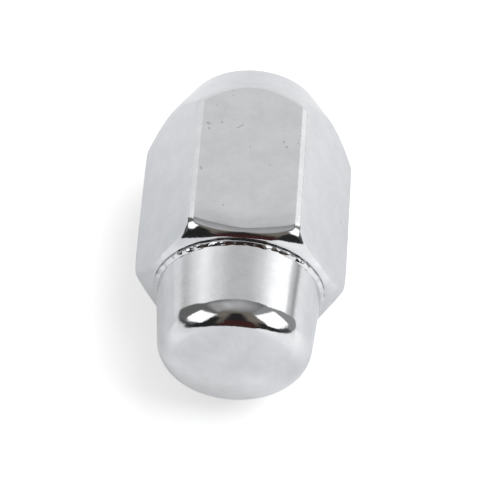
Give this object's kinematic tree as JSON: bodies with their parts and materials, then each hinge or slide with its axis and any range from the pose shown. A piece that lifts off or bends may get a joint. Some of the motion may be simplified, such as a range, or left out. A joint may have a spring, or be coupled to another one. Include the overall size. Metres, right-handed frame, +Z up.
{
  "type": "lug nut",
  "caption": "Closed-end wheel lug nut: hexagonal body with a conical seat and a threaded hole, and a hollow domed cap welded on its other end, chrome plated.",
  "frame": {"origin": "on the thread axis, in the plane of the annular face at the small end of the conical seat", "axes": "+Y along the thread axis, out of the open mouth, the way the stud leaves; +Z up, square to the upper hexagon flat, with the nut lying on the opposite flat; the domed cap is at the -Y end"},
  "size_m": [0.0216, 0.0339, 0.019],
  "materials": {
    "chrome_plate": "bright chrome plate over steel, with fine pits and faint handling marks"
  },
  "bodies": {
    "root": {"nut_body": "chrome_plate", "dome_cap": "chrome_plate"}
  },
  "joints": []
}
